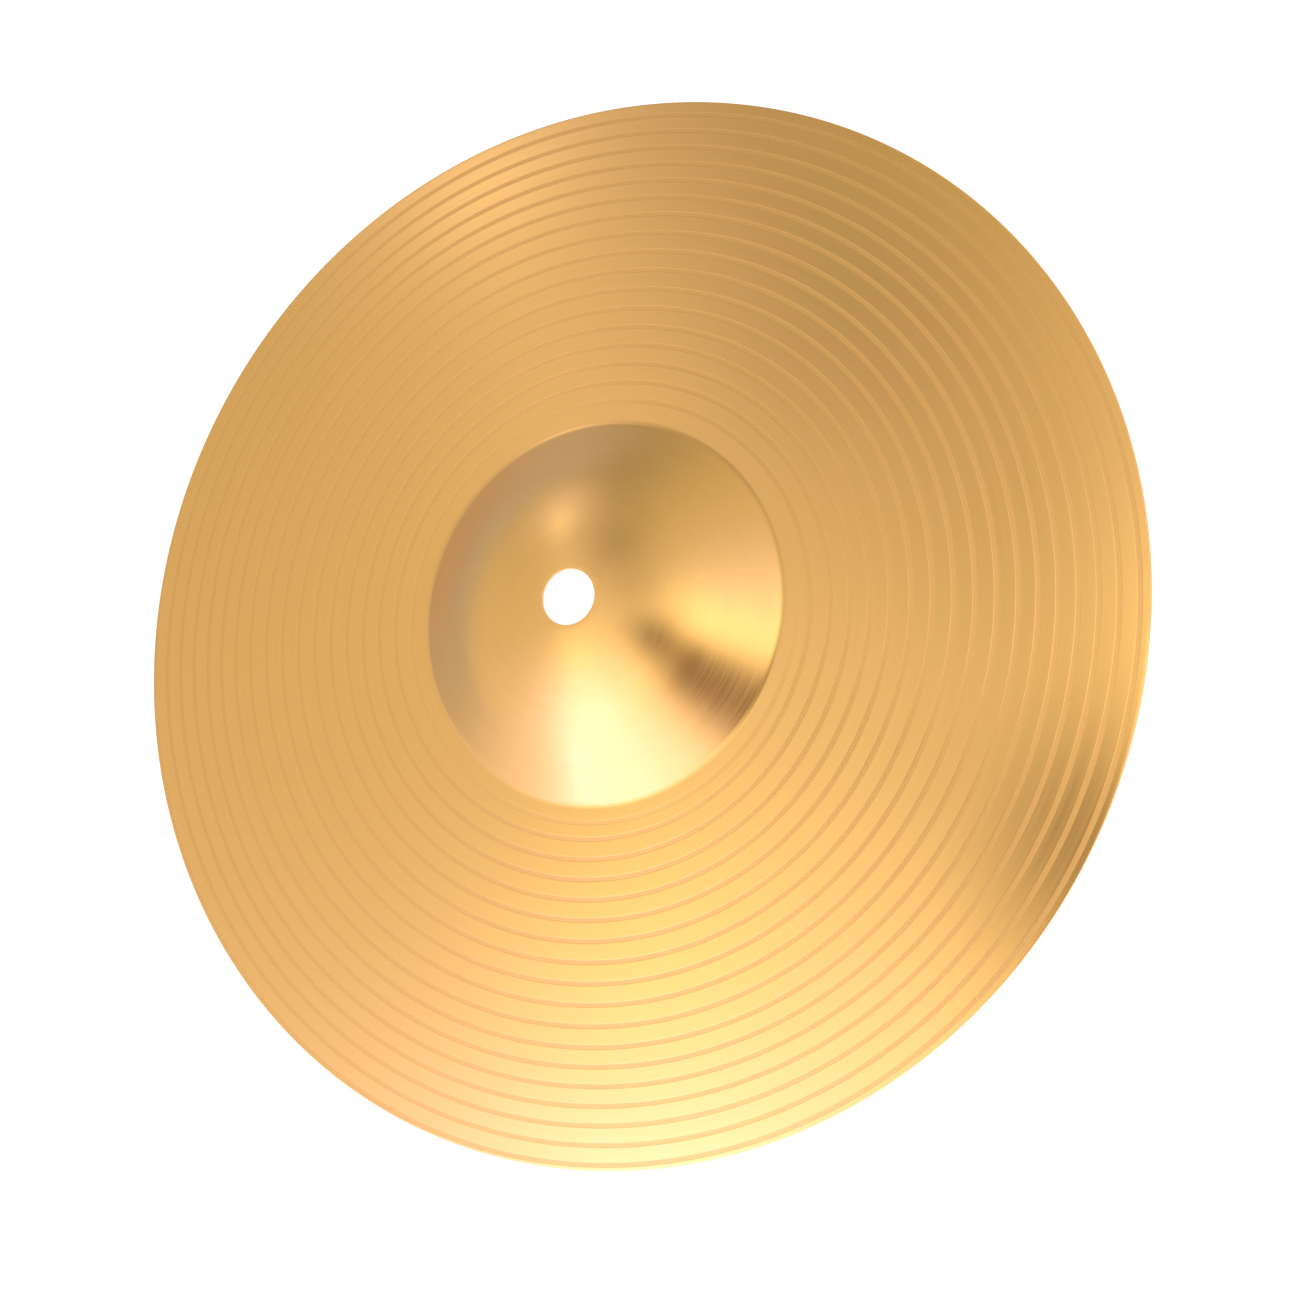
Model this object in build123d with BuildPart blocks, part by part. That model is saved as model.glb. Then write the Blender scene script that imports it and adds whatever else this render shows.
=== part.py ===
"""Crash cymbal: one spun brass plate with a domed bell, a shallow bow and a lathed spiral.

Millimetres, +Z up. The underside of the rim lies on Z = 0 and the axis of the
centre hole is Z. The bow is a cap of one large sphere, whose last stretch turns
down more tightly towards the rim. The bell is a round crown on a straight skirt,
which meets the bow in a tight concave crease. The sheet has one thickness all over.
"""

import os
from math import asin, atan2, cos, degrees, radians, sin, sqrt, tan

from build123d import *

# --- driving dimensions -------------------------------------------------------
RIM_DIAMETER = 254.0  # 10 inch plate
HOLE_DIAMETER = 13.0  # clears the sleeve of a stand's tilter
SHEET = 0.8  # thickness of the brass
BELL_DIAMETER = 90.0  # where the skirt would meet the bow without its fillet
BELL_CROWN = 60.6  # radius of the round top of the bell
BELL_SLOPE = 34.0  # fall of its straight skirt, in degrees
BOW_SPHERE = 1000.0  # radius of the top of the bow
DROOP_START = 98.0  # distance from the axis where the bow begins to turn down
DROOP_ARC = 340.0  # radius of that last stretch
CREASE_FILLET = 3.5  # concave fillet round the foot of the bell
RIM_EASE = 0.25  # rounding of the rim's two edges
HOLE_EASE = 0.1  # rounding of the hole's two edges

# The lathed groove is one spiral. It starts almost as a circle round the foot of
# the bell and runs out over the edge of the rim.
GROOVE_START = 48.8  # radius where it begins
GROOVE_PITCHES = ((0.5, 1.1), (4.5, 4.58), (6, 4.76), (6.5, 4.34))  # turns, advance per turn
GROOVE_WIDTH = 1.4
GROOVE_FLOOR = 0.8  # its flat bottom
GROOVE_DEPTH = 0.05
FINE_TURNS = 1  # the first turn is narrower and lighter than the rest
FINE_SHARE = 0.6
GROOVE_CLEAR = 0.3  # how far the cutter stands above the metal

rim_r = RIM_DIAMETER / 2
hole_r = HOLE_DIAMETER / 2
bell_r = BELL_DIAMETER / 2
skirt_lean = radians(BELL_SLOPE)

# The last stretch is tangent to the bow, so its centre lies on the same normal.
droop_lean = asin(DROOP_START / BOW_SPHERE)
droop_x = (BOW_SPHERE - DROOP_ARC) * sin(droop_lean)
droop_rise = (BOW_SPHERE - DROOP_ARC) * cos(droop_lean)

# The rim is cut square to the sheet and its corners are eased. The full diameter
# is across the upper eased corner, and the lower one rests on Z = 0.
rim_lean = asin((rim_r - droop_x) / (DROOP_ARC - RIM_EASE))
under_ease = DROOP_ARC - SHEET + RIM_EASE
bow_centre = RIM_EASE - under_ease * cos(rim_lean) - RIM_EASE * sin(rim_lean) - droop_rise
droop_centre = bow_centre + droop_rise

# The skirt leaves the crown at a tangent and comes down to the bow at bell_r.
foot_z = bow_centre + sqrt(BOW_SPHERE**2 - bell_r**2)
crown_r = BELL_CROWN * sin(skirt_lean)
crown_centre = foot_z + (bell_r - crown_r) * tan(skirt_lean) - BELL_CROWN * cos(skirt_lean)
lip_z = crown_centre + sqrt(BELL_CROWN**2 - hole_r**2)

# Centre of the crease fillet, CREASE_FILLET off the skirt and off the bow. It is
# found by sliding along the skirt from bell_r until it is the right distance from
# the bow's centre: slide**2 + 2 * along * slide + gap == 0.
start_x = bell_r + CREASE_FILLET * sin(skirt_lean)
start_z = foot_z + CREASE_FILLET * cos(skirt_lean) - bow_centre
along = start_x * cos(skirt_lean) - start_z * sin(skirt_lean)
gap = start_x**2 + start_z**2 - (BOW_SPHERE + CREASE_FILLET) ** 2
slide = -along - sqrt(along**2 - gap)
crease_x = start_x + slide * cos(skirt_lean)
crease_z = bow_centre + start_z - slide * sin(skirt_lean)
bow_lean = atan2(crease_x, crease_z - bow_centre)


def polar(centre, radius, lean, centre_x=0.0):
    """Point in the XZ half plane, LEAN radians away from straight up."""
    return centre_x + radius * sin(lean), centre + radius * cos(lean)


def plate_edge(offset):
    """Corners and arc middles of one face of the sheet, OFFSET below its top."""
    bow, droop, crown = (radius - offset for radius in (BOW_SPHERE, DROOP_ARC, BELL_CROWN))
    crease = -(CREASE_FILLET + offset)
    lip = asin(hole_r / crown)
    return {
        "lip": polar(crown_centre, crown, lip),
        "crown_mid": polar(crown_centre, crown, (lip + skirt_lean) / 2),
        "crown_foot": polar(crown_centre, crown, skirt_lean),
        "skirt_foot": polar(crease_z, crease, skirt_lean, crease_x),
        "crease_mid": polar(crease_z, crease, (skirt_lean + bow_lean) / 2, crease_x),
        "bow_foot": polar(bow_centre, bow, bow_lean),
        "bow_mid": polar(bow_centre, bow, (bow_lean + droop_lean) / 2),
        "droop": polar(bow_centre, bow, droop_lean),
        "droop_mid": polar(droop_centre, droop, (droop_lean + rim_lean) / 2, droop_x),
        "rim": polar(droop_centre, droop, rim_lean, droop_x),
    }


def surface(radius):
    """Height and lean of the top of the bow at this distance from the axis."""
    if radius < DROOP_START:
        lean = asin(radius / BOW_SPHERE)
        return bow_centre + BOW_SPHERE * cos(lean), lean
    lean = asin((radius - droop_x) / DROOP_ARC)
    return droop_centre + DROOP_ARC * cos(lean), lean


top = plate_edge(0.0)
under = plate_edge(SHEET)

with BuildPart() as cymbal:
    # Section of the sheet, spun round the axis.
    with BuildSketch(Plane.XZ):
        with BuildLine():
            ThreePointArc(top["lip"], top["crown_mid"], top["crown_foot"])
            Line(top["crown_foot"], top["skirt_foot"])
            ThreePointArc(top["skirt_foot"], top["crease_mid"], top["bow_foot"])
            ThreePointArc(top["bow_foot"], top["bow_mid"], top["droop"])
            ThreePointArc(top["droop"], top["droop_mid"], top["rim"])
            Line(top["rim"], under["rim"])
            ThreePointArc(under["rim"], under["droop_mid"], under["droop"])
            ThreePointArc(under["droop"], under["bow_mid"], under["bow_foot"])
            ThreePointArc(under["bow_foot"], under["crease_mid"], under["skirt_foot"])
            Line(under["skirt_foot"], under["crown_foot"])
            ThreePointArc(under["crown_foot"], under["crown_mid"], under["lip"])
            Line(under["lip"], top["lip"])
        make_face()
    revolve(axis=Axis.Z)

    circles = cymbal.edges().filter_by(GeomType.CIRCLE)
    fillet(circles.filter_by(lambda e: abs(e.radius - hole_r) < 0.01), HOLE_EASE)
    fillet(circles.filter_by(lambda e: e.radius > rim_r - 1), RIM_EASE)

    # The spiral, as half turns. Both ends of a half turn lie on one sphere centred
    # on the axis, and it is a true circle on that sphere. It turns about a line
    # through the sphere's centre, tipped by half the difference between its ends,
    # and each one runs on into the next.
    ends = [GROOVE_START]
    for turns, pitch in GROOVE_PITCHES:
        for _ in range(round(2 * turns)):
            ends.append(ends[-1] + pitch / 2)

    for k in range(len(ends) - 1):
        side = 1 if k % 2 == 0 else -1
        near, far = ends[k], ends[k + 1]
        (near_z, lean), (far_z, _) = surface(near), surface(far)
        centre = (near_z + far_z) / 2 - (far**2 - near**2) / (2 * (near_z - far_z))
        tip = side * (atan2(near, near_z - centre) - atan2(far, far_z - centre)) / 2
        spin = Axis((0, 0, centre), (sin(tip), 0, cos(tip)))
        share = FINE_SHARE if k < 2 * FINE_TURNS else 1.0
        half, floor, depth = (share * v for v in (GROOVE_WIDTH / 2, GROOVE_FLOOR / 2, GROOVE_DEPTH))
        cutter = Plane(
            origin=(side * near, 0, near_z),
            x_dir=(side * cos(lean), 0, -sin(lean)),
            z_dir=(0, -side, 0),
        )
        with BuildSketch(cutter):
            with BuildLine():
                Polyline((-half, 0), (-floor, -depth), (floor, -depth), (half, 0),
                         (half, GROOVE_CLEAR), (-half, GROOVE_CLEAR), close=True)
            make_face()
        revolve(axis=spin, revolution_arc=-180, mode=Mode.SUBTRACT)

cymbal.part.label = "cymbal"

os.makedirs("parts", exist_ok=True)
export_step(cymbal.part, "parts/cymbal.step")

if __name__ == "__main__":
    box = cymbal.part.bounding_box()
    print(f"size {box.size.X:.2f} x {box.size.Y:.2f} x {box.size.Z:.2f} mm, low {box.min.Z:.3f}")
    print(f"solids {len(cymbal.part.solids())}, faces {len(cymbal.part.faces())}")
    print(f"volume {cymbal.part.volume / 1000:.2f} cm3, valid {cymbal.part.is_valid}")
    print(f"foot of the bell {foot_z:.2f}, lip {lip_z:.2f}, rim slope {degrees(rim_lean):.1f} deg")
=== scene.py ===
"""Crash cymbal: a lathed, circularly brushed brass plate, on a plain pale floor.

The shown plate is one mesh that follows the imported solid: bell, crease, bow and
rim, with the spiral groove cut into its geometry. All lengths are metres. Angles
round the plate and in the light tent are clockwise from +X, seen from above.
"""

from math import asin, atan2, cos, log, pi, radians, sin, sqrt, tan

import bmesh
import bpy
import numpy as np
from mathutils import Matrix, Vector


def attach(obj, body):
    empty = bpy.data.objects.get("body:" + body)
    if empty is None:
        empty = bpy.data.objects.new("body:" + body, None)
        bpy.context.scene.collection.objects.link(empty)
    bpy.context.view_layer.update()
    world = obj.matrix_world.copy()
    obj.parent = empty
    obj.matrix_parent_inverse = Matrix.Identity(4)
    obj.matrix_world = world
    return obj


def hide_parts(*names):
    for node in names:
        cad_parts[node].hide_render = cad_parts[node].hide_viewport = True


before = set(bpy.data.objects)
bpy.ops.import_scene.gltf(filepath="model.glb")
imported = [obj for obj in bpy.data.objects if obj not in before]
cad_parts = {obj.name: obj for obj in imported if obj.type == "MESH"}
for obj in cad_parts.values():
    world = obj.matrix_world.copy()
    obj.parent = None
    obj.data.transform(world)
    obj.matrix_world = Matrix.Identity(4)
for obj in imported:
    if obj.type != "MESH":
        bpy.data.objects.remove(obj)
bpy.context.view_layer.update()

MM = 0.001

# --- the plate's shape, as it is in the CAD model ------------------------------
RIM_R = 127 * MM
HOLE_R = 6.5 * MM
SHEET = 0.8 * MM
BELL_R = 45 * MM
BELL_CROWN = 60.6 * MM
SKIRT_LEAN = radians(34)
BOW_SPHERE = 1000 * MM
DROOP_START = 98 * MM  # where the bow begins to turn down towards the rim
DROOP_ARC = 340 * MM
CREASE_FILLET = 3.5 * MM
RIM_EASE = 0.25 * MM
HOLE_EASE = 0.1 * MM

GROOVE_START = 48.8 * MM
GROOVE_PITCHES = ((0.5, 1.1), (4.5, 4.58), (6, 4.76), (6.5, 4.34))  # turns, mm per turn
GROOVE_HALF = 0.6 * MM  # its walls are steeper than in the CAD model, at the same mean width
BOTTOM_HALF = 0.48 * MM
GROOVE_DEPTH = 0.05 * MM
GROOVE_EASE_IN = (-0.02, 0.12)  # turns over which the tool comes down
FINE_SHARE = 0.6  # of the full depth, for the first turn
FINE_TO_FULL = (0.7, 1.6)  # turns over which it goes to the full depth
RIM_FADE = 0.4 * MM  # the groove runs out over this last stretch

SPOKES = 320  # points round the plate
WELD = 0.002 * MM  # points closer than this are one
SLIVER = 0.0001 * MM  # edges shorter than this are taken out

DROOP_LEAN = asin(DROOP_START / BOW_SPHERE)
DROOP_X = (BOW_SPHERE - DROOP_ARC) * sin(DROOP_LEAN)
RIM_LEAN = asin((RIM_R - DROOP_X) / (DROOP_ARC - RIM_EASE))
DROOP_CENTRE = (RIM_EASE - (DROOP_ARC - SHEET + RIM_EASE) * cos(RIM_LEAN)
                - RIM_EASE * sin(RIM_LEAN))
BOW_CENTRE = DROOP_CENTRE - (BOW_SPHERE - DROOP_ARC) * cos(DROOP_LEAN)
FOOT_Z = BOW_CENTRE + sqrt(BOW_SPHERE**2 - BELL_R**2)
CROWN_R = BELL_CROWN * sin(SKIRT_LEAN)
CROWN_CENTRE = FOOT_Z + (BELL_R - CROWN_R) * tan(SKIRT_LEAN) - BELL_CROWN * cos(SKIRT_LEAN)


def smooth(low, high, x):
    """0 below LOW, 1 above HIGH, and a smooth rise between."""
    t = np.clip((x - low) / (high - low), 0, 1)
    return t * t * (3 - 2 * t)


def crease_centre():
    """Centre of the crease fillet: its own radius off the skirt and off the bow."""
    x = BELL_R + CREASE_FILLET * sin(SKIRT_LEAN)
    z = FOOT_Z + CREASE_FILLET * cos(SKIRT_LEAN) - BOW_CENTRE
    along = x * cos(SKIRT_LEAN) - z * sin(SKIRT_LEAN)
    gap = x**2 + z**2 - (BOW_SPHERE + CREASE_FILLET) ** 2
    slide = -along - sqrt(along**2 - gap)
    return x + slide * cos(SKIRT_LEAN), BOW_CENTRE + z - slide * sin(SKIRT_LEAN)


CREASE_X, CREASE_Z = crease_centre()
BOW_LEAN = atan2(CREASE_X, CREASE_Z - BOW_CENTRE)


def arc(cx, cz, radius, start, end, count):
    """Points of an arc in the section, from lean START to lean END."""
    leans = np.linspace(start, end, count)
    return [(cx + radius * sin(a), cz + radius * cos(a)) for a in leans]


def bell_line(offset):
    """One face of the bell and its crease, from the hole's lip out to the bow's foot."""
    crown = BELL_CROWN - offset
    lip = asin((HOLE_R + HOLE_EASE) / crown)
    crown_count, skirt_count = (14, 5) if offset else (24, 9)  # the underside is coarser
    points = arc(0, CROWN_CENTRE, crown, lip, SKIRT_LEAN, crown_count)
    crease = arc(CREASE_X, CREASE_Z, -CREASE_FILLET - offset, SKIRT_LEAN, BOW_LEAN, 10)
    skirt = np.linspace(points[-1], crease[0], skirt_count)[1:-1]
    return points + [tuple(p) for p in skirt] + crease


def bow_top(radius):
    """Height and lean of the bow's top at this distance from the axis."""
    inner = np.arcsin(np.minimum(radius, DROOP_START) / BOW_SPHERE)
    outer = np.arcsin((np.maximum(radius, DROOP_START) - DROOP_X) / DROOP_ARC)
    z = np.where(radius < DROOP_START, BOW_CENTRE + BOW_SPHERE * np.cos(inner),
                 DROOP_CENTRE + DROOP_ARC * np.cos(outer))
    return z, np.where(radius < DROOP_START, inner, outer)


# --- the spiral ---------------------------------------------------------------
knots = [0.0]
radii = [GROOVE_START]
for turns, pitch in GROOVE_PITCHES:
    knots.append(knots[-1] + turns)
    radii.append(radii[-1] + turns * pitch * MM)
LAST_TURN = knots[-1]


def spiral(turn):
    """Distance of the groove's middle from the axis after this many turns.

    Before the first turn and after the last it only guides the rows of the mesh.
    """
    inside = GROOVE_START + turn * GROOVE_PITCHES[1][1] * MM
    beyond = radii[-1] + (turn - LAST_TURN) * GROOVE_PITCHES[-1][1] * MM
    through = np.interp(turn, knots, radii)
    return np.where(turn < 0, inside, np.where(turn > LAST_TURN, beyond, through))


def groove_strength(turn):
    """How deep the tool bites: it eases in, cuts lightly for a turn, then fully."""
    full = smooth(*FINE_TO_FULL, turn)
    return smooth(*GROOVE_EASE_IN, turn) * (FINE_SHARE + (1 - FINE_SHARE) * full)


def groove_section(step):
    """Share of the full depth at this share of the groove's half width."""
    return np.clip((1 - abs(step)) / (1 - BOTTOM_HALF / GROOVE_HALF), 0, 1)


# Rows of the bow run along the spiral. Across one pitch they go over the groove
# (in shares of its half width) and then over the land as far as the next turn.
# The rows beside each corner of the groove keep its edges crisp.
ACROSS = (-1.08, -1.0, -0.8, -0.72, 0.72, 0.8, 1.0, 1.08)
ROUGH_WITHIN = 0.9  # share of the half width that the tool has left rough
LANDS = (0.25, 0.5, 0.75)
FIRST_TURN, END_TURN = -2, 19  # the rows' turns, before they are cut to the plate

BOW_IN = BOW_SPHERE * sin(BOW_LEAN)
RIM_IN = DROOP_X + DROOP_ARC * sin(RIM_LEAN) - RIM_EASE * cos(RIM_LEAN)


def rim_corner(offset, start, end):
    """One rounded corner of the rim, its centre OFFSET under the bow's top."""
    cx = DROOP_X + (DROOP_ARC - offset) * sin(RIM_LEAN) - RIM_EASE * cos(RIM_LEAN)
    cz = DROOP_CENTRE + (DROOP_ARC - offset) * cos(RIM_LEAN) + RIM_EASE * sin(RIM_LEAN)
    return arc(cx, cz, RIM_EASE, RIM_LEAN + start, RIM_LEAN + end, 6)


def build_plate():
    """Vertices, quads and the groove mask of the whole plate."""
    turn_part = np.arange(SPOKES) / SPOKES
    angle = -2 * pi * turn_part
    co, mask, quads = [], [], []

    def ring(radius, z, value=0.0):
        r, z, value = (np.broadcast_to(v, SPOKES) for v in (radius, z, value))
        co.append(np.stack([r * np.cos(angle), r * np.sin(angle), z], 1))
        mask.append(value)
        return (len(co) - 1) * SPOKES + np.arange(SPOKES)

    def chain(rings):
        """Quads between rings, facing up where the next ring is the wider."""
        for here, there in zip(rings, rings[1:]):
            quads.append(np.stack([here, np.roll(here, -1), np.roll(there, -1), there], 1))

    # Bell and crease, from the lip outwards.
    bell = [ring(r, z) for r, z in bell_line(0)[:-1]]
    chain(bell + [ring(BOW_IN, bow_top(BOW_IN)[0])])

    # The bow.
    rows = []
    for k in range(FIRST_TURN, END_TURN):
        turn = k + turn_part
        here, there = spiral(turn), spiral(turn + 1)
        edge = ACROSS[-1] * GROOVE_HALF
        for step in ACROSS:
            rows.append((here + step * GROOVE_HALF, turn, step))
        for share in LANDS:
            rows.append((here + edge + share * (there - here - 2 * edge), turn, ACROSS[-1]))
    ids = []
    for radius, turn, step in rows:
        radius = np.clip(radius, BOW_IN, RIM_IN)
        bite = groove_strength(turn) * smooth(0, RIM_FADE, RIM_IN - radius)
        depth = GROOVE_DEPTH * bite * groove_section(step)
        z, lean = bow_top(radius)
        ids.append(ring(radius - depth * np.sin(lean), z - depth * np.cos(lean),
                        bite * (abs(step) < ROUGH_WITHIN)))
    per_turn = len(ACROSS) + len(LANDS)
    for q in range(len(rows) - per_turn - 1):
        # The end of a row runs on into the same row of the next turn.
        here, there = (np.append(ids[i], ids[i + per_turn][0]) for i in (q, q + 1))
        quads.append(np.stack([here[:-1], here[1:], there[1:], there[:-1]], 1))

    # Rim, underside and the wall of the hole, back round to the lip.
    rim = [(RIM_IN, float(bow_top(RIM_IN)[0]))]
    rim += rim_corner(RIM_EASE, 0, pi / 2)[1:] + rim_corner(SHEET - RIM_EASE, pi / 2, pi)
    low_start = RIM_LEAN - RIM_EASE / DROOP_ARC
    low = arc(DROOP_X, DROOP_CENTRE, DROOP_ARC - SHEET, low_start, DROOP_LEAN, 8)[1:]
    low += arc(0, BOW_CENTRE, BOW_SPHERE - SHEET, DROOP_LEAN, BOW_LEAN, 10)[1:]
    low += bell_line(SHEET)[::-1][1:]
    wall = []
    for offset, start in ((SHEET, pi), (0, pi / 2)):
        lip = CROWN_CENTRE + sqrt((BELL_CROWN - offset) ** 2 - HOLE_R**2)
        middle = lip + (HOLE_EASE if offset else -HOLE_EASE)
        wall += arc(0, middle, HOLE_EASE, start, start - pi / 2, 4)
    bore = [(HOLE_R + HOLE_EASE - r, z) for r, z in wall[1:-1]]
    chain([ring(r, z) for r, z in rim + low + bore] + [bell[0]])
    return np.concatenate(co), np.concatenate(mask), np.concatenate(quads)


def plate_object():
    """The plate as one closed mesh, with the groove mask as a point attribute.

    Rows that reach past the bow were held at its edges, and are welded there.
    """
    co, mask, quads = build_plate()
    mesh = bpy.data.meshes.new("cymbal_plate")
    mesh.from_pydata(co.tolist(), [], quads.tolist())
    mesh.attributes.new("groove", "FLOAT", "POINT").data.foreach_set("value", mask)
    bm = bmesh.new()
    bm.from_mesh(mesh)
    bmesh.ops.remove_doubles(bm, verts=bm.verts, dist=WELD)
    bmesh.ops.dissolve_degenerate(bm, edges=bm.edges, dist=SLIVER)
    loose = [v for v in bm.verts if not v.link_faces]
    bmesh.ops.delete(bm, geom=loose, context="VERTS")
    for face in bm.faces:
        face.smooth = True
    bm.to_mesh(mesh)
    bm.free()
    plate = bpy.data.objects.new("cymbal_plate", mesh)
    bpy.context.scene.collection.objects.link(plate)
    return plate


plate = plate_object()
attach(plate, "root")
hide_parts("cymbal")


# --- brass --------------------------------------------------------------------
BRASS = ((0.86, 0.51, 0.165, 1), (0.90, 0.54, 0.18, 1))  # darkest and lightest of its bands
GROOVE_BRASS = (0.70, 0.40, 0.13, 1)
GROOVE_TINT = 0.3  # how far the groove goes towards that colour
LAND_ROUGHNESS = (0.21, 0.26)
GROOVE_ROUGHNESS = 0.2  # more than the land's
BRUSH_HEIGHT = 0.0015 * MM  # of the fine circular brush marks
THREAD_HEIGHT = 0.005 * MM  # of the fine threads that the tool leaves on the groove's floor
THREAD_PITCH = 0.15 * MM


class Nodes:
    """Small helper that adds and links shader nodes."""

    def __init__(self, material):
        material.use_nodes = True
        self.tree = material.node_tree
        self.tree.nodes.clear()

    def add(self, kind, values=(), **settings):
        node = self.tree.nodes.new(kind)
        for name, value in settings.items():
            setattr(node, name, value)
        for key, value in dict(values).items():
            self.put(node.inputs[key], value)
        return node

    def put(self, socket, value):
        if isinstance(value, bpy.types.NodeSocket):
            self.tree.links.new(value, socket)
        else:
            socket.default_value = value

    def math(self, operation, *values):
        return self.add("ShaderNodeMath", dict(enumerate(values)), operation=operation).outputs[0]

    def vector(self, operation, *values, scale=None, output=0):
        node = self.add("ShaderNodeVectorMath", dict(enumerate(values)), operation=operation)
        if scale is not None:
            self.put(node.inputs["Scale"], scale)
        return node.outputs[output]

    def combine(self, x, y, z):
        return self.add("ShaderNodeCombineXYZ", {0: x, 1: y, 2: z}).outputs[0]

    def noise(self, vector):
        values = {"Vector": vector, "Scale": 1.0, "Detail": 2.0, "Roughness": 0.5}
        return self.add("ShaderNodeTexNoise", values).outputs[0]

    def span(self, value, low, high, to_low, to_high):
        values = {0: value, 1: low, 2: high, 3: to_low, 4: to_high}
        return self.add("ShaderNodeMapRange", values, clamp=True).outputs[0]

    def mix(self, share, one, two):
        values = {0: share, 6: one, 7: two}
        return self.add("ShaderNodeMix", values, data_type="RGBA").outputs[2]


def brass_material():
    material = bpy.data.materials.new("brass_lathed")
    n = Nodes(material)
    place = n.add("ShaderNodeTexCoord").outputs["Object"]
    xyz = n.add("ShaderNodeSeparateXYZ", {0: place}).outputs
    radius = n.math("SQRT", n.math("ADD", n.math("MULTIPLY", xyz[0], xyz[0]),
                                   n.math("MULTIPLY", xyz[1], xyz[1])))
    across = n.math("DIVIDE", xyz[0], radius)
    along = n.math("DIVIDE", xyz[1], radius)
    groove = n.add("ShaderNodeAttribute", attribute_name="groove").outputs["Fac"]

    def lines(arc_length, spacing):
        """Noise drawn out round the axis: arcs this long (radians), this far apart."""
        turn = 1 / arc_length
        vector = n.combine(n.math("MULTIPLY", across, turn), n.math("MULTIPLY", along, turn),
                           n.math("MULTIPLY", radius, 1 / spacing))
        return n.noise(vector)

    fine = lines(0.6, 0.35 * MM)
    broad = lines(0.5, 2.0 * MM)
    colour = n.mix(n.math("MULTIPLY", groove, GROOVE_TINT), n.mix(broad, *BRASS), GROOVE_BRASS)
    rough = n.math("ADD", n.span(fine, 0.3, 0.7, *LAND_ROUGHNESS),
                   n.math("MULTIPLY", groove, GROOVE_ROUGHNESS))
    threads = n.math("SINE", n.math("MULTIPLY", radius, 2 * pi / THREAD_PITCH))
    threads = n.math("MULTIPLY", threads, groove)
    height = n.math("MULTIPLY_ADD", threads, THREAD_HEIGHT / BRUSH_HEIGHT, fine)
    bump = n.add("ShaderNodeBump", {"Strength": 1.0, "Distance": BRUSH_HEIGHT, "Height": height})
    tangent = n.add("ShaderNodeTangent", direction_type="RADIAL", axis="Z")
    shader = n.add("ShaderNodeBsdfPrincipled", {
        "Base Color": colour, "Metallic": 1.0, "Roughness": rough, "Anisotropic": 0.56,
        "Anisotropic Rotation": 0.25,
        "Normal": bump.outputs[0], "Tangent": tangent.outputs[0],
    })
    out = n.add("ShaderNodeOutputMaterial")
    n.tree.links.new(shader.outputs[0], out.inputs[0])
    return material


plate.data.materials.append(brass_material())


# --- camera, floor and light ----------------------------------------------------
def aimed(obj, spot, target, up):
    """Places OBJ at SPOT, looking at TARGET, with UP towards the top of its view."""
    back = (Vector(spot) - Vector(target)).normalized()
    right = Vector(up).cross(back).normalized()
    top = back.cross(right)
    turn = Matrix((right, top, back)).transposed().to_4x4()
    obj.matrix_world = Matrix.Translation(spot) @ turn


CAMERA_SPOT = (0.2534, -0.1350, 0.5673)
CAMERA_TARGET = (0.00756, -0.00766, -0.0042)
CAMERA_UP = (0, 1, 0)

camera = bpy.data.objects.new("camera", bpy.data.cameras.new("camera"))
camera.data.lens = 74.94
camera.data.sensor_width = 36
bpy.context.scene.collection.objects.link(camera)
bpy.context.scene.camera = camera
aimed(camera, CAMERA_SPOT, CAMERA_TARGET, CAMERA_UP)


def floor_object():
    """A plain white floor that glows a little, so that no shadow greys it."""
    mesh = bpy.data.meshes.new("floor")
    half = 4.0
    mesh.from_pydata([(-half, -half, 0), (half, -half, 0), (half, half, 0), (-half, half, 0)],
                     [], [(0, 1, 2, 3)])
    floor = bpy.data.objects.new("floor", mesh)
    bpy.context.scene.collection.objects.link(floor)
    material = bpy.data.materials.new("floor_pale")
    n = Nodes(material)
    shader = n.add("ShaderNodeBsdfPrincipled", {
        "Base Color": (0.2, 0.2, 0.2, 1), "Roughness": 0.9, "Specular IOR Level": 0.0,
        "Emission Color": (1, 1, 1, 1), "Emission Strength": 1.0,
    })
    n.tree.links.new(shader.outputs[0], n.add("ShaderNodeOutputMaterial").inputs[0])
    mesh.materials.append(material)
    return floor


floor_object()

# The plate stands in a light tent, as for a product picture: a dome whose wall
# glows softly everywhere, with softboxes and darker openings. Only the metal sees
# it. Angles are in degrees. The lamps and openings were not chosen by hand: a
# least-squares program fitted them to the plate's reflections, and they were
# rounded and slightly changed afterwards. They suit the one camera only.
TENT_RADIUS = 0.5
TABLE_HOLE = RIM_R + 3 * MM  # its floor starts just outside the plate
TABLE_Z = 0.4 * MM
TENT_COLOUR = (1.09, 1.04, 0.95)
TENT_GLOW = (0.70, 0.68, 0.60)
TENT_LAMPS = (
    # azimuth, elevation, half width, strength, blue
    (116, 47, 16, 0.9, 2.3),  # main softbox
    (84, -6, 42, 1.6, 2.3),  # low softbox in front
    (32, 54, 19, 2.8, 0.8),  # softbox round the camera
    (347, 34, 21, 0.26, 2.5),
    (241, 27, 11, 0.85, 1.6),  # lamps at the back
    (240, 58, 13, 0.28, 1.5),
    (236, 34, 4, 0.75, 1.0),
    (142, 88, 16, 0.16, 1.5),
    (119, 24, 6, 0.5, 3.5),
    (147, 66, 9, 0.45, 0.0),
)
CAMERA_OPENING = (41, 47, 17)
TENT_OPENINGS = (
    # azimuth, elevation, half width, share of the light that is missing
    (*CAMERA_OPENING, 1.0),
    (31, 49, 8, 1.0),
    (26, 71, 11, 0.96),
    (262, 57, 11, 0.47),  # seams
    (252, 19, 24, 0.53),
    (301, 74, 10, 0.33),
)
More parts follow.
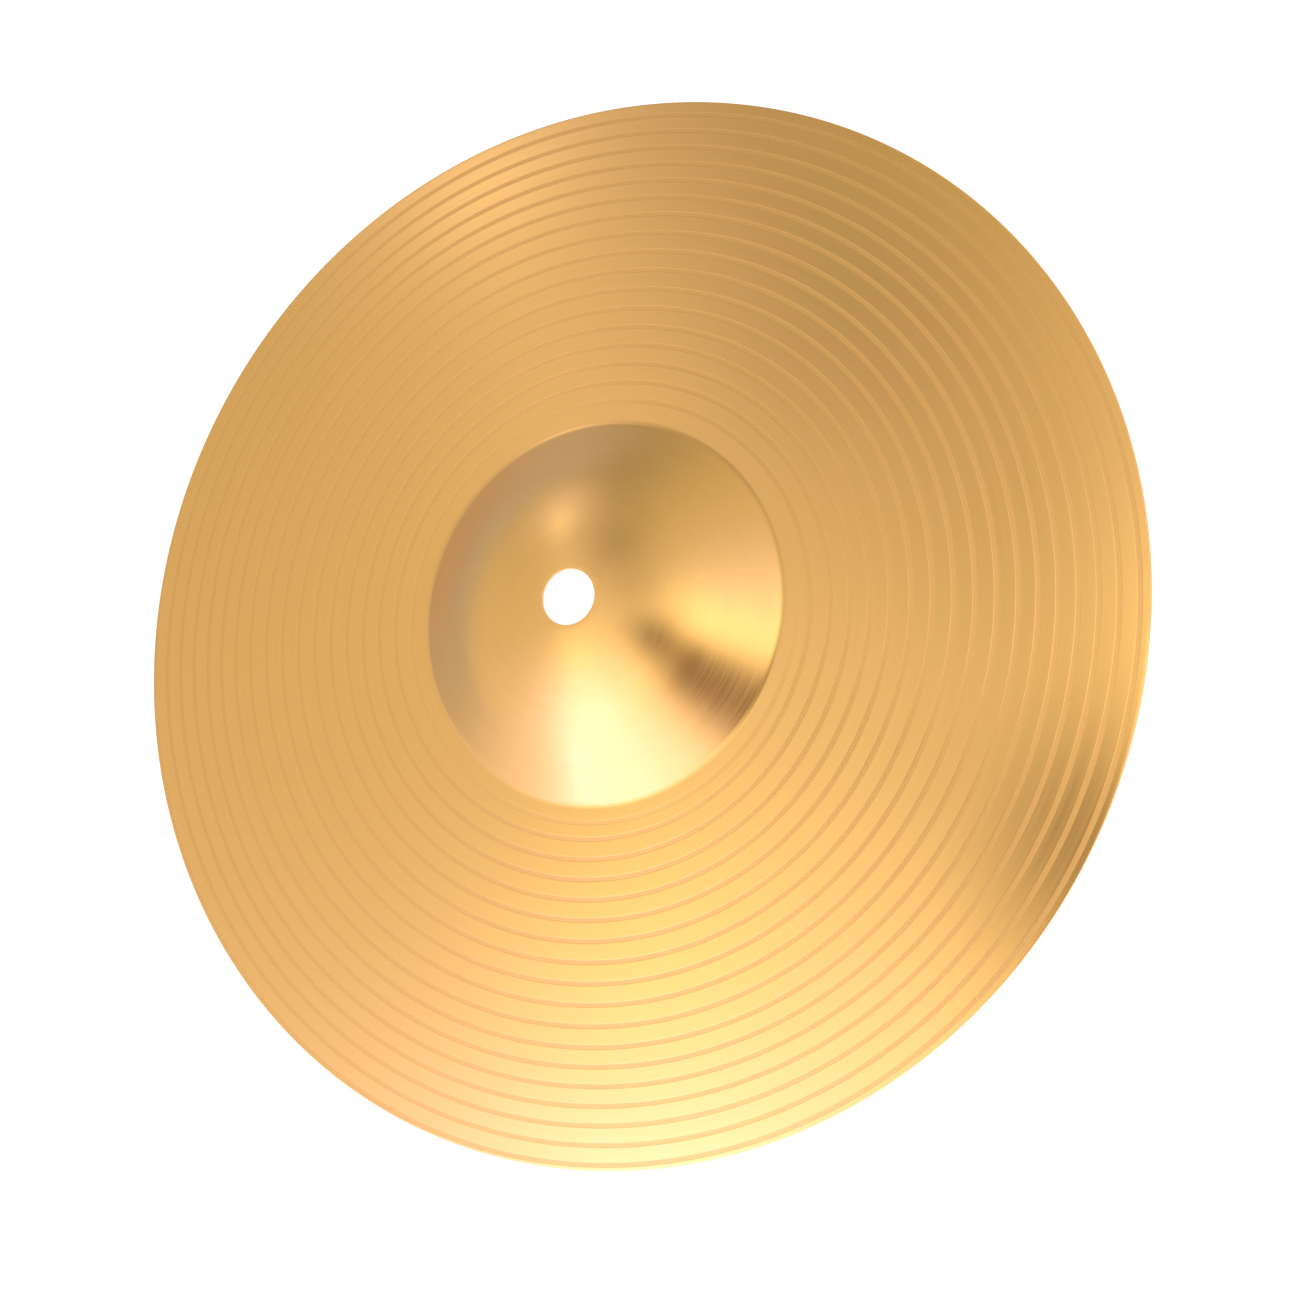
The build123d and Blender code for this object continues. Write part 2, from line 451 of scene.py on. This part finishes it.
BEHIND_CAMERA = (0.08, 0.02, 0.0)  # the warm dark room seen through the camera's opening
TABLE_COLOUR = (0.50, 0.56, 0.80)  # the grey behind, which the far side of the bell reflects
TABLE_TILT = (217, 11)  # it comes up to this elevation at this azimuth
TABLE_BLUR = 0.05


def towards(azimuth, elevation):
    """Unit vector of a direction, with azimuth clockwise from +X."""
    a, e = -radians(azimuth), radians(elevation)
    return cos(a) * cos(e), sin(a) * cos(e), sin(e)


def tent_material():
    material = bpy.data.materials.new("light_tent")
    n = Nodes(material)
    place = n.add("ShaderNodeNewGeometry").outputs["Position"]
    way = n.vector("NORMALIZE", place)

    def spot(azimuth, elevation, half_width):
        """1 in this direction, 0.5 at the half width, and 0 far from it."""
        sharp = log(2) / (1 - cos(radians(half_width)))
        dot = n.vector("DOT_PRODUCT", way, towards(azimuth, elevation), output=1)
        return n.math("EXPONENT", n.math("MULTIPLY_ADD", dot, sharp, -sharp))

    total = TENT_GLOW
    for azimuth, elevation, half_width, strength, blue in TENT_LAMPS:
        colour = (strength, strength, strength * blue)
        glow = n.vector("SCALE", colour, scale=spot(azimuth, elevation, half_width))
        total = n.vector("ADD", total, glow)
    for azimuth, elevation, half_width, share in TENT_OPENINGS:
        left = n.math("MULTIPLY_ADD", spot(azimuth, elevation, half_width), -share, 1.0)
        total = n.vector("SCALE", total, scale=left)
    total = n.vector("ADD", total, n.vector("SCALE", BEHIND_CAMERA, scale=spot(*CAMERA_OPENING)))
    azimuth, elevation = TABLE_TILT
    up = towards(azimuth + 180, 90 - elevation)
    above = n.span(n.vector("DOT_PRODUCT", way, up, output=1), -TABLE_BLUR, TABLE_BLUR, 0, 1)
    total = n.vector("MULTIPLY", n.mix(above, (*TABLE_COLOUR, 1), total), TENT_COLOUR)
    shader = n.add("ShaderNodeEmission", {"Color": total, "Strength": 1.0})
    n.tree.links.new(shader.outputs[0], n.add("ShaderNodeOutputMaterial").inputs[0])
    return material


def tent_object():
    bm = bmesh.new()
    bmesh.ops.create_icosphere(bm, subdivisions=4, radius=TENT_RADIUS)
    bmesh.ops.bisect_plane(bm, geom=bm.verts[:] + bm.edges[:] + bm.faces[:],
                           plane_co=(0, 0, TABLE_Z), plane_no=(0, 0, 1), clear_inner=True)
    edge = [e for e in bm.edges if e.is_boundary]
    skirt = bmesh.ops.extrude_edge_only(bm, edges=edge)["geom"]
    for vert in (v for v in skirt if isinstance(v, bmesh.types.BMVert)):
        vert.co.xy *= TABLE_HOLE / vert.co.xy.length
    mesh = bpy.data.meshes.new("light_tent")
    bm.to_mesh(mesh)
    bm.free()
    mesh.materials.append(tent_material())
    tent = bpy.data.objects.new("light_tent", mesh)
    bpy.context.scene.collection.objects.link(tent)
    for ray in ("camera", "diffuse", "transmission", "volume_scatter", "shadow"):
        setattr(tent, "visible_" + ray, False)
    return tent


tent_object()

world = bpy.data.worlds.new("studio")
bpy.context.scene.world = world
world.use_nodes = True
background = world.node_tree.nodes["Background"]
background.inputs["Color"].default_value = (1, 1, 1, 1)
background.inputs["Strength"].default_value = 1.0

bpy.context.scene.view_settings.view_transform = "Standard"
